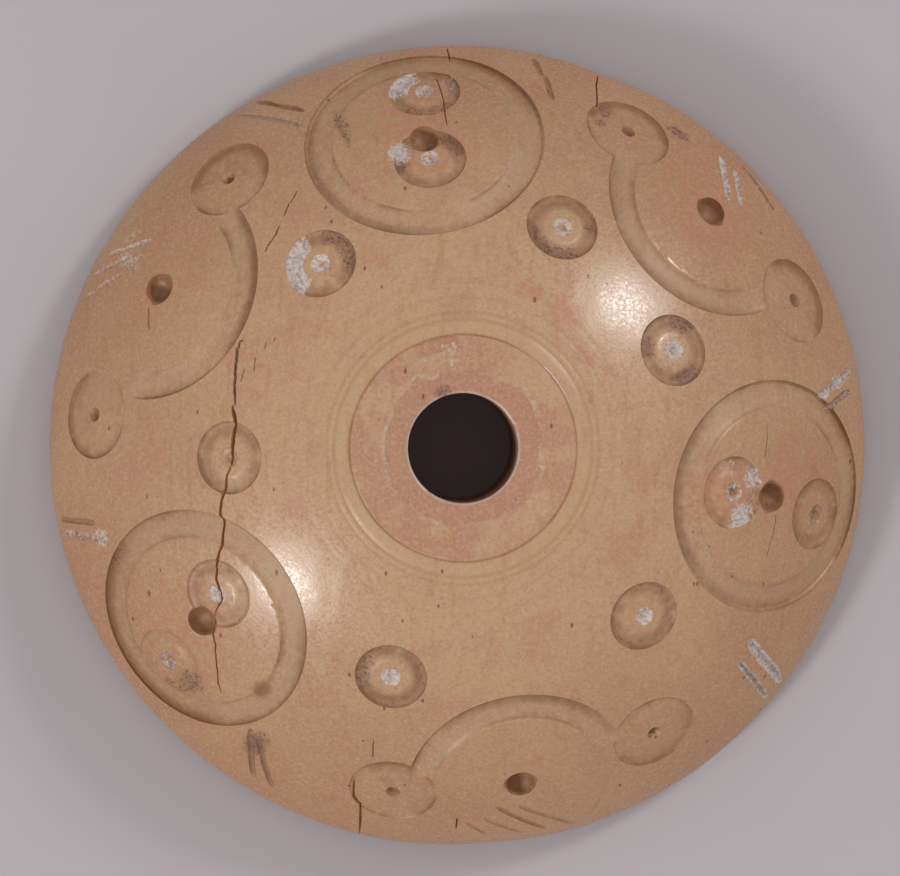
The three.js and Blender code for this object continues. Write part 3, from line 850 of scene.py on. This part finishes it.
class WhorlFinish(bpy.types.PropertyGroup):
    """Colours of the bone and of what lies in its cuts"""
    crown: FloatVectorProperty(
        name="Crown", description="Bone near the collar", subtype="COLOR", size=3,
        default=(0.445, 0.275, 0.155))
    flank: FloatVectorProperty(
        name="Flank", description="Bone towards the rim", subtype="COLOR", size=3,
        default=(0.36, 0.18, 0.09))
    blush: FloatVectorProperty(
        name="Blush", description="Pink of the collar and of the blotches", subtype="COLOR", size=3,
        default=(0.40, 0.19, 0.125))
    straw: FloatVectorProperty(
        name="Straw", description="Yellower bone between the blotches", subtype="COLOR", size=3,
        default=(0.44, 0.29, 0.15))
    blotch: FloatVectorProperty(
        name="Blotch", description="Orange-pink blotches", subtype="COLOR", size=3,
        default=(0.42, 0.17, 0.095))
    split: FloatVectorProperty(
        name="Split", description="Orange brown inside the cracks", subtype="COLOR", size=3,
        default=(0.36, 0.14, 0.035))
    groove: FloatVectorProperty(
        name="Groove", description="Brown stain in the cuts", subtype="COLOR", size=3,
        default=(0.21, 0.09, 0.035))
    pore: FloatVectorProperty(
        name="Pore", description="Dark pores and the inside of cracks", subtype="COLOR", size=3,
        default=(0.16, 0.045, 0.01))
    chalk: FloatVectorProperty(
        name="Chalk", description="White residue", subtype="COLOR", size=3,
        default=(0.52, 0.46, 0.44))
    grime: FloatVectorProperty(
        name="Grime", description="Purple-grey residue", subtype="COLOR", size=3,
        default=(0.19, 0.10, 0.07))
    dust: FloatVectorProperty(
        name="Dust", description="Pale dust in the grooves", subtype="COLOR", size=3,
        default=(0.36, 0.245, 0.15))
    roughness: FloatProperty(
        name="Roughness", description="Roughness of the rubbed bone", default=0.25, min=0, max=1)


class WhorlStage(bpy.types.PropertyGroup):
    """Floor, light and camera"""
    floor_size: FloatProperty(
        name="Floor", description="Width of the floor", default=1.2, unit="LENGTH", subtype="DISTANCE")
    floor_colour: FloatVectorProperty(
        name="Floor colour", description="Colour of the floor", subtype="COLOR", size=3,
        default=(0.405, 0.371, 0.39))
    lamp_distance: FloatProperty(
        name="Lamp distance", description="From the whorl to each lamp", default=0.6,
        unit="LENGTH", subtype="DISTANCE")
    lamp_size: FloatProperty(
        name="Lamp size", description="Width of each lamp", default=0.11, unit="LENGTH", subtype="DISTANCE")
    lamp_power: FloatProperty(
        name="Lamp power", description="Power of each lamp", default=1.6, unit="POWER")
    sky: FloatProperty(
        name="Sky", description="Brightness of the even light all round", default=0.62)
    camera_distance: FloatProperty(
        name="Camera distance", description="From the aim to the camera", default=0.26,
        unit="LENGTH", subtype="DISTANCE")


class WHORL_OT_body(bpy.types.Operator):
    """Turn the body: an oval dome with a flat underside, a collar and a bore"""
    bl_idname = "whorl.body"
    bl_label = "Turn body"

    def execute(self, context):
        profile = body_profile()
        deselect_all()
        bpy.ops.mesh.primitive_circle_add(vertices=len(profile), radius=GIRTH_RADIUS, location=(0, 0, 0))
        body = context.object
        body.name = "bone_whorl"
        set_coordinates(body, [(r, 0.0, z) for r, z in profile])
        bpy.ops.object.mode_set(mode="EDIT")
        bpy.ops.mesh.select_all(action="SELECT")
        bpy.ops.mesh.spin(steps=BODY_SIDES, angle=2 * math.pi, center=(0, 0, 0), axis=(0, 0, 1))
        bpy.ops.mesh.select_all(action="SELECT")
        bpy.ops.mesh.remove_doubles(threshold=0.0005)
        bpy.ops.mesh.normals_make_consistent(inside=False)
        bpy.ops.object.mode_set(mode="OBJECT")
        bore = context.scene.whorl_shape.bore_diameter / MM / 2
        set_coordinates(body, [worn(place, bore) for place in coordinates(body)])
        return {"FINISHED"}


class WHORL_OT_large_rings(bpy.types.Operator):
    """Cut the six large compass rings and their centre holes"""
    bl_idname = "whorl.large_rings"
    bl_label = "Cut large rings"

    def execute(self, context):
        body = bpy.data.objects["bone_whorl"]
        cutters = []
        for fades, rings in ((False, BETWEEN_RINGS), (True, STROKE_RINGS)):
            for index, ring in enumerate(rings):
                name = f"large_{fades}_{index}"
                cutters.append(ring_cutter(
                    name, ring, LARGE_RADIUS, LARGE_LEAN, LARGE_SECTION, LARGE_STEPS, LARGE_DUST, fades))
                cutters.append(hole_cutter(name + "_hole", ring, LARGE_LEAN, CENTRE_HOLE))
        cut_all(body, cutters, "large_rings")
        return {"FINISHED"}


class WHORL_OT_small_rings(bpy.types.Operator):
    """Cut the small ring-and-dots, in the gaps, inside the large rings and across them"""
    bl_idname = "whorl.small_rings"
    bl_label = "Cut ring-and-dots"

    def execute(self, context):
        body = bpy.data.objects["bone_whorl"]
        small = GAP_DOTS + INNER_DOTS + OUTER_DOTS
        cutters = []
        for index, ring in enumerate(small):
            lean = square_lean(ring)
            name = f"small_{index}"
            cutters.append(ring_cutter(
                name, ring, SMALL_RADIUS, lean, SMALL_SECTION, SMALL_STEPS, SMALL_DUST))
            cutters.append(hole_cutter(name + "_dot", ring, lean, SMALL_DOT))
        for index, ring in enumerate(SIDE_DOTS):
            lean = square_lean(ring)
            name = f"side_{index}"
            cutters.append(ring_cutter(
                name, ring, SIDE_RADIUS, lean, SIDE_SECTION, SMALL_STEPS, SIDE_DUST, least_kept=SIDE_LEAST))
            cutters.append(hole_cutter(name + "_dot", ring, lean, SIDE_DOT))
        cut_all(body, cutters, "small_rings")
        return {"FINISHED"}


class WHORL_OT_strokes(bpy.types.Operator):
    """Cut the short strokes near the rim"""
    bl_idname = "whorl.strokes"
    bl_label = "Cut strokes"

    def execute(self, context):
        body = bpy.data.objects["bone_whorl"]
        surface = carved_surface(body)
        cutters = [stroke_cutter(index, surface, stroke) for index, stroke in enumerate(STROKES)]
        cut_all(body, cutters, "strokes")
        return {"FINISHED"}


class WHORL_OT_cracks(bpy.types.Operator):
    """Open the cracks that run along the grain"""
    bl_idname = "whorl.cracks"
    bl_label = "Open cracks"

    def execute(self, context):
        body = bpy.data.objects["bone_whorl"]
        surface = carved_surface(body)
        cutters = [crack_cutter(index, surface, crack) for index, crack in enumerate(CRACKS)]
        cut_all(body, cutters, "cracks")
        return {"FINISHED"}


class Recipe:
    """Adds shader nodes to a material one after another."""

    def __init__(self, material):
        material.use_nodes = True
        self.tree = material.node_tree
        self.tree.nodes.clear()
        self.count = 0

    def add(self, kind, settings=None, inputs=None):
        node = self.tree.nodes.new(kind)
        node.location = (self.count % 12 * 220, -(self.count // 12) * 320)
        self.count += 1
        for name, value in (settings or {}).items():
            setattr(node, name, value)
        for name, value in (inputs or {}).items():
            self.feed(node.inputs[name], value)
        return node

    def feed(self, socket, value):
        if isinstance(value, bpy.types.NodeSocket):
            self.tree.links.new(value, socket)
        else:
            socket.default_value = value

    def maths(self, operation, first, second=0.0, clamp=False):
        node = self.add("ShaderNodeMath", {"operation": operation, "use_clamp": clamp})
        self.feed(node.inputs[0], first)
        self.feed(node.inputs[1], second)
        return node.outputs[0]

    def stretched(self, coordinate, scale):
        node = self.add("ShaderNodeMapping", inputs={"Vector": coordinate, "Scale": scale})
        return node.outputs["Vector"]

    def noise(self, coordinate, scale, detail=3.0, roughness=0.55):
        node = self.add("ShaderNodeTexNoise", inputs={
            "Vector": coordinate, "Scale": scale, "Detail": detail, "Roughness": roughness})
        return node.outputs["Fac"]

    def about_zero(self, noise_value, size):
        """A noise moved to lie evenly about zero, and scaled."""
        return self.maths("MULTIPLY", self.maths("SUBTRACT", noise_value, 0.5), size)

    def ramp(self, value, low, high, out_low=0.0, out_high=1.0):
        node = self.add("ShaderNodeMapRange", {"interpolation_type": "SMOOTHSTEP"}, {
            "Value": value, "From Min": low, "From Max": high, "To Min": out_low, "To Max": out_high})
        return node.outputs["Result"]

    def mix(self, share, first, second, blend="MIX"):
        node = self.add("ShaderNodeMix", {"data_type": "RGBA", "blend_type": blend, "clamp_factor": True})
        self.feed(node.inputs[0], share)
        self.feed(node.inputs[6], first)
        self.feed(node.inputs[7], second)
        return node.outputs[2]


def rgba(colour, factor=1.0):
    return (colour[0] * factor, colour[1] * factor, colour[2] * factor, 1.0)


class Surface:
    """Where a point of the bone lies, what is marked on it, and the noises that its colours share."""

    def __init__(self, r):
        metres = r.add("ShaderNodeTexCoord").outputs["Object"]
        self.place = r.stretched(metres, (1 / MM, 1 / MM, 1 / MM))
        grain = r.stretched(self.place, (1.0, 0.16, 0.5))
        parts = r.add("ShaderNodeSeparateXYZ", inputs={"Vector": self.place})
        self.height = parts.outputs["Z"]
        flat = r.add("ShaderNodeCombineXYZ", inputs={"X": parts.outputs["X"], "Y": parts.outputs["Y"]})
        length = r.add("ShaderNodeVectorMath", {"operation": "LENGTH"}, {"Vector": flat.outputs[0]})
        self.radius = length.outputs["Value"]
        self.top_side = r.ramp(self.height, 0.2, 1.2)

        self.broad = r.noise(self.place, 0.16, 1.0)
        self.cloud = r.noise(self.place, 0.55, 2.0)
        self.mottle = r.noise(self.place, 2.7, 3.0, 0.65)
        self.fine = r.noise(self.place, 6.5, 2.0, 0.7)
        self.streak = r.noise(grain, 2.4, 3.0, 0.6)

        self.fill, self.dust = self.marked(r, "fill")
        self.patch, self.blotch = self.marked(r, "patch")
        self.collar, _ = self.marked(r, "collar")

    def marked(self, r, name):
        """The three colours of an attribute and its alpha."""
        marks = r.add("ShaderNodeAttribute", {"attribute_name": name})
        colours = r.add("ShaderNodeSeparateColor", inputs={"Color": marks.outputs["Color"]})
        return colours.outputs, marks.outputs["Alpha"]


def base_tones(r, at, finish):
    """Yellow at the crown, more orange at the rim, in broad clouds."""
    shifted = r.maths("ADD", at.radius, r.about_zero(at.cloud, 7.0))
    colour = r.mix(r.ramp(shifted, 7.0, 18.5), rgba(finish.crown), rgba(finish.flank))
    colour = r.mix(r.ramp(at.broad, 0.35, 0.7, 0.0, 0.4), colour, rgba(finish.straw))
    return r.mix(r.ramp(at.cloud, 0.48, 0.7, 0.0, 0.5), colour, rgba(finish.blush, 1.04))


def collar_mask(r, at):
    """Where the collar lies, with a slightly uneven edge."""
    edge = r.maths("ADD", at.radius, r.about_zero(at.mottle, 0.1))
    inside = r.ramp(edge, COLLAR_RADIUS - 0.06, COLLAR_RADIUS + 0.04, 1.0, 0.0)
    return r.maths("MULTIPLY", inside, at.top_side)


def collar_tones(r, at, finish, colour, on_collar):
    """The pink collar with its inner ring, its flake, its pale broken edges and a painted highlight on the
    lip of the bore.
    """
    outer_tone = r.mix(r.ramp(at.cloud, 0.45, 0.65), rgba(finish.blush, 0.96), rgba(finish.crown, 1.0))
    inner_tone = r.mix(r.ramp(at.mottle, 0.35, 0.65), rgba(finish.blush, 0.8), rgba(finish.blush, 1.02))
    colour = r.mix(r.maths("MULTIPLY", on_collar, 0.75), colour, outer_tone)
    colour = r.mix(r.maths("MULTIPLY", at.collar[0], 0.75), colour, inner_tone)
    colour = r.mix(r.maths("MULTIPLY", at.collar[1], 0.5), colour, rgba(finish.blotch, 0.8))
    pale = r.maths("MULTIPLY", at.collar[2], r.ramp(at.fine, 0.4, 0.6, 0.1, 0.6))
    colour = r.mix(pale, colour, rgba(finish.chalk, 0.9))
    # Painted highlight: a pale ring in the chalk colour round the rounded lip of the bore, on its top side
    # only
    lip = r.maths("MULTIPLY", r.ramp(at.radius, *BORE_LIP_HIGHLIGHT, 0.7, 0.0), at.top_side)
    lip = r.maths("MULTIPLY", lip, r.ramp(at.height, HEIGHT - 0.25, HEIGHT - 0.1))
    return r.mix(lip, colour, rgba(finish.chalk, 0.95))


def mottled(r, at, finish, colour):
    """Dust in the grooves, then the fine mottling and the streaks of the grain over everything."""
    dust = r.maths("MULTIPLY", at.dust, r.ramp(at.cloud, 0.35, 0.65, 0.6, 1.1))
    colour = r.mix(dust, colour, rgba(finish.dust))
    colour = r.mix(r.ramp(at.mottle, 0.5, 0.66, 0.0, 0.42), colour, rgba(finish.blush, 1.06))
    colour = r.mix(r.ramp(at.mottle, 0.5, 0.34, 0.0, 0.42), colour, rgba(finish.straw, 0.93))
    colour = r.mix(r.ramp(at.streak, 0.5, 0.75, 0.0, 0.4), colour, rgba(finish.groove, 1.7))
    colour = r.mix(r.ramp(at.fine, 0.5, 0.68, 0.0, 0.33), colour, rgba(finish.crown, 1.3))
    return r.mix(r.ramp(at.fine, 0.46, 0.3, 0.0, 0.33), colour, rgba(finish.flank, 0.72))


def blotched(r, at, finish, colour):
    """Orange-pink blotches with ragged edges."""
    ragged = r.maths("ADD", at.blotch, r.about_zero(at.mottle, 2.6))
    share = r.maths("MULTIPLY", r.ramp(ragged, 0.1, 1.1, 0.0, 0.7), r.ramp(at.blotch, 0.0, 0.4))
    return r.mix(share, colour, rgba(finish.blotch))


def line_masks(r, at):
    """Darker tint in the turned lines, more in deep ones, and the smooth band between the first two of them.
    """
    line_tint = None
    for middle, half, depth in TURNED_LINES:
        away = r.maths("ABSOLUTE", r.maths("SUBTRACT", at.radius, middle))
        tint = r.ramp(away, half * 0.1, half * 1.2, min(depth * 20, 0.5), 0.0)
        line_tint = tint if line_tint is None else r.maths("MAXIMUM", line_tint, tint)
    line_tint = r.maths("MULTIPLY", line_tint, at.top_side)
    from_band = r.maths("ABSOLUTE", r.maths("SUBTRACT", at.radius, BAND_TINT_MIDDLE))
    band = r.maths("MULTIPLY", r.ramp(from_band, 0.2, 0.6, 0.3, 0.0), at.top_side)
    return line_tint, band


def stained(r, at, finish, colour):
    """Brown stain, then grime with dark specks in it."""
    brown = r.maths("MAXIMUM", at.fill[0], at.patch[0])
    grime = r.maths("MAXIMUM", at.fill[2], at.patch[2])
    wobble = r.about_zero(at.mottle, 0.7)
    brown_mask = r.ramp(r.maths("ADD", brown, wobble), 0.0, 0.95, 0.0, 0.9)
    brown_mask = r.maths("MULTIPLY", brown_mask, r.ramp(brown, 0.0, 0.15))
    stain = r.mix(r.ramp(brown, 0.85, 0.97), rgba(finish.groove), rgba(finish.split))
    colour = r.mix(brown_mask, colour, stain)
    breakup = r.maths("ADD", r.about_zero(at.fine, 1.6), wobble)
    grime_mask = r.ramp(r.maths("ADD", grime, breakup), 0.2, 0.95, 0.0, 0.7)
    grime_mask = r.maths("MULTIPLY", grime_mask, r.ramp(grime, 0.05, 0.35))
    colour = r.mix(grime_mask, colour, rgba(finish.grime))
    specks = r.maths("MULTIPLY", r.ramp(at.fine, 0.54, 0.62, 0.0, 0.75), r.ramp(grime, 0.2, 0.6))
    return r.mix(specks, colour, rgba(finish.pore, 0.8))


def chalk_share(r, at):
    """Where white residue lies, broken up at its edges."""
    chalk = r.maths("MAXIMUM", at.fill[1], at.patch[1])
    breakup = r.maths("ADD", r.about_zero(at.fine, 1.6), r.about_zero(at.mottle, 0.7))
    share = r.ramp(r.maths("ADD", chalk, breakup), 0.25, 0.95, 0.0, 0.88)
    return r.maths("MULTIPLY", share, r.ramp(chalk, 0.05, 0.3))


def pored(r, at, finish, colour):
    """Small dark pores, a little longer along the grain, in most cells of a scatter."""
    cells = r.add("ShaderNodeTexVoronoi", {"feature": "F1"}, {
        "Vector": r.stretched(at.place, (1.0, 0.5, 0.8)), "Scale": 1.2, "Randomness": 1.0})
    chance = r.add("ShaderNodeSeparateColor", inputs={"Color": cells.outputs["Color"]}).outputs[0]
    size = r.ramp(chance, PORE_CHANCE, 1.0, *PORE_SIZES)
    soft = r.ramp(r.maths("SUBTRACT", cells.outputs["Distance"], size), -0.03, 0.03, 1.0, 0.0)
    mask = r.maths("MULTIPLY", soft, r.maths("GREATER_THAN", chance, PORE_CHANCE))
    return r.mix(r.maths("MULTIPLY", mask, 0.85), colour, rgba(finish.pore))


def bone_roughness(r, at, finish, on_collar, chalk, lines):
    """Rubbed smooth, but duller on the collar, in the cuts and lines, and where residue lies."""
    rough = r.ramp(at.fine, 0.3, 0.7, finish.roughness - 0.05, finish.roughness + 0.1)
    rough = r.maths("ADD", rough, r.maths("MULTIPLY", on_collar, 0.15))
    rough = r.maths("ADD", rough, r.maths("MULTIPLY", chalk, 0.45))
    rough = r.maths("ADD", rough, r.ramp(at.dust, 0.0, 0.15, 0.0, 0.14))
    rough = r.maths("ADD", rough, r.maths("MULTIPLY", lines, 0.4))
    return r.maths("ADD", rough, r.maths("MULTIPLY", at.fill[0], 0.4), clamp=True)


def bone_material(finish):
    """Rubbed bone: yellow at the crown, more orange at the rim, pink on the collar, porous and stained."""
    material = bpy.data.materials.new("bone")
    r = Recipe(material)
    at = Surface(r)
    on_collar = collar_mask(r, at)
    line_tint, band = line_masks(r, at)
    chalk = chalk_share(r, at)

    colour = base_tones(r, at, finish)
    colour = collar_tones(r, at, finish, colour, on_collar)
    colour = mottled(r, at, finish, colour)
    colour = blotched(r, at, finish, colour)
    colour = r.mix(line_tint, colour, rgba(finish.groove, 1.3))
    colour = r.mix(band, colour, rgba(finish.straw))
    colour = stained(r, at, finish, colour)
    chalk_tone = r.mix(r.ramp(at.fine, 0.35, 0.6), rgba(finish.chalk, 0.72), rgba(finish.chalk, 1.08))
    colour = r.mix(chalk, colour, chalk_tone)
    colour = pored(r, at, finish, colour)

    relief = r.maths("MULTIPLY", r.noise(at.place, 2.4, 2.0, 0.6), 0.01)
    relief = r.maths("ADD", relief, r.maths("MULTIPLY", r.noise(at.place, 7.0, 2.0), 0.008))
    bump = r.add("ShaderNodeBump", inputs={"Strength": 0.38, "Distance": MM, "Height": relief})
    shader = r.add("ShaderNodeBsdfPrincipled", inputs={
        "Base Color": colour,
        "Roughness": bone_roughness(r, at, finish, on_collar, chalk, r.maths("MAXIMUM", line_tint, band)),
        "Normal": bump.outputs["Normal"],
        "IOR": 1.5,
    })
    output = r.add("ShaderNodeOutputMaterial")
    r.tree.links.new(shader.outputs["BSDF"], output.inputs["Surface"])
    return material


def paint_patches(body):
    """Marks the patches of residue and stain on the finished surface."""
    places = coordinates(body)
    r = turned_radius(places[:, 0], places[:, 1])
    angles = np.degrees(np.arctan2(places[:, 1] / oval_at(r), places[:, 0]))
    colours = np.zeros((len(places), 4), np.float32)
    top = places[:, 2] > GIRTH_HEIGHT / 2
    for kind, radius, degrees, along, across, strength in PATCHES:
        out = (r - radius) / along
        turn = np.radians((angles - degrees + 180) % 360 - 180) * radius / across
        weight = strength * np.clip(1.6 - np.hypot(out, turn), 0, 1) * top
        colours[:, kind] = np.maximum(colours[:, kind], weight)
    layer = body.data.attributes.new("patch", "FLOAT_COLOR", "POINT")
    layer.data.foreach_set("color", colours.ravel())
    parts = np.zeros((len(places), 4), np.float32)
    for index in np.nonzero((r < COLLAR_RADIUS) & (places[:, 2] > HEIGHT - 1))[0]:
        x, y = places[index, :2]
        parts[index, :3] = collar_parts(x, y, math.hypot(x, y), angles[index] % 360)
    layer = body.data.attributes.new("collar", "FLOAT_COLOR", "POINT")
    layer.data.foreach_set("color", parts.ravel())


class WHORL_OT_finish(bpy.types.Operator):
    """Bring the body to metres, shade it, give it its bone and put it in the place of the plain solid"""
    bl_idname = "whorl.finish"
    bl_label = "Finish body"

    def execute(self, context):
        body = bpy.data.objects["bone_whorl"]
        paint_patches(body)
        body.data.transform(Matrix.Scale(MM, 4))
        body.data.materials.clear()
        body.data.materials.append(bone_material(context.scene.whorl_finish))
        select_only(body)
        bpy.ops.object.shade_smooth_by_angle(angle=context.scene.whorl_shape.smooth_angle)
        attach(body, "root")
        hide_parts("whorl")
        return {"FINISHED"}


# The camera looks almost straight down; the aim and the tilt follow the photograph
AIM = (-0.3792, 0.3707, 2.0)
CAMERA_TILT = 1.3888
CAMERA_AZIMUTH = 157.912
LENS = 223.9
SENSOR = 36.0

# Each lamp's name, azimuth, elevation and share of the power, and the tint of the even light
LAMPS = (("lamp_right", 39.5, 36.0, 0.75), ("lamp_left", 219.0, 36.0, 0.95))
SKY_TINT = (1.0, 0.97, 0.95, 1.0)


def direction(azimuth, elevation):
    """The unit vector towards an azimuth and an elevation, in degrees."""
    a = math.radians(azimuth)
    e = math.radians(elevation)
    return Vector((math.cos(e) * math.cos(a), math.cos(e) * math.sin(a), math.sin(e)))


def floor_material(colour):
    material = bpy.data.materials.new("plain_floor")
    r = Recipe(material)
    place = r.add("ShaderNodeTexCoord").outputs["Object"]
    tone = r.mix(r.ramp(r.noise(place, 30.0), 0.3, 0.7), rgba(colour, 0.98), rgba(colour, 1.02))
    shader = r.add("ShaderNodeBsdfPrincipled", inputs={"Base Color": tone, "Roughness": 0.9})
    output = r.add("ShaderNodeOutputMaterial")
    r.tree.links.new(shader.outputs["BSDF"], output.inputs["Surface"])
    return material


class WHORL_OT_stage(bpy.types.Operator):
    """Set a pale floor, two soft lamps and the camera"""
    bl_idname = "whorl.stage"
    bl_label = "Set stage"

    def execute(self, context):
        stage = context.scene.whorl_stage
        deselect_all()
        bpy.ops.mesh.primitive_plane_add(size=stage.floor_size, location=(0, 0, 0))
        floor = context.object
        floor.name = "floor"
        floor.data.materials.append(floor_material(stage.floor_colour))
        aim = Vector(AIM) * MM
        for name, azimuth, elevation, share in LAMPS:
            deselect_all()
            towards = direction(azimuth, elevation)
            bpy.ops.object.light_add(type="AREA", location=aim + towards * stage.lamp_distance)
            lamp = context.object
            lamp.name = name
            lamp.data.shape = "DISK"
            lamp.data.size = stage.lamp_size
            lamp.data.energy = stage.lamp_power * share
            lamp.rotation_euler = towards.to_track_quat("Z", "Y").to_euler()
        world = bpy.data.worlds.new("studio")
        context.scene.world = world
        world.use_nodes = True
        world.node_tree.nodes["Background"].inputs["Color"].default_value = SKY_TINT
        world.node_tree.nodes["Background"].inputs["Strength"].default_value = stage.sky
        context.scene.view_settings.view_transform = "Standard"
        deselect_all()
        towards = direction(CAMERA_AZIMUTH, 90 - CAMERA_TILT)
        bpy.ops.object.camera_add(location=aim + towards * stage.camera_distance)
        camera = context.object
        camera.name = "camera"
        side = Vector((0, 1, 0)).cross(towards).normalized()
        up = towards.cross(side)
        camera.rotation_euler = Matrix((side, up, towards)).transposed().to_euler()
        camera.data.sensor_fit = "HORIZONTAL"
        camera.data.sensor_width = SENSOR
        camera.data.lens = LENS
        camera.data.clip_start = 0.01
        context.scene.camera = camera
        return {"FINISHED"}


class WHORL_PT_panel(bpy.types.Panel):
    """Sizes, colours and steps of the whorl"""
    bl_label = "Bone spindle whorl"
    bl_idname = "WHORL_PT_panel"
    bl_space_type = "VIEW_3D"
    bl_region_type = "UI"
    bl_category = "Whorl"

    def draw(self, context):
        for settings in (context.scene.whorl_shape, context.scene.whorl_finish, context.scene.whorl_stage):
            box = self.layout.box()
            for name in settings.__annotations__:
                box.prop(settings, name)
        for step in STEPS:
            self.layout.operator(step.bl_idname)


SETTINGS = (("whorl_shape", WhorlShape), ("whorl_finish", WhorlFinish), ("whorl_stage", WhorlStage))
STEPS = (
    WHORL_OT_body, WHORL_OT_large_rings, WHORL_OT_small_rings, WHORL_OT_strokes, WHORL_OT_cracks,
    WHORL_OT_finish, WHORL_OT_stage,
)


def register():
    for name, group in SETTINGS:
        bpy.utils.register_class(group)
        setattr(bpy.types.Scene, name, PointerProperty(type=group))
    for step in STEPS:
        bpy.utils.register_class(step)
    bpy.utils.register_class(WHORL_PT_panel)


def unregister():
    bpy.utils.unregister_class(WHORL_PT_panel)
    for step in reversed(STEPS):
        bpy.utils.unregister_class(step)
    for name, group in reversed(SETTINGS):
        delattr(bpy.types.Scene, name)
        bpy.utils.unregister_class(group)


def corners(low_and_high):
    return [list(corner) for corner in low_and_high]


def main():
    register()
    bpy.ops.whorl.body()
    bpy.ops.whorl.large_rings()
    bpy.ops.whorl.small_rings()
    bpy.ops.whorl.strokes()
    bpy.ops.whorl.cracks()
    bpy.ops.whorl.finish()
    bpy.ops.whorl.stage()


if __name__ == "__main__":
    main()
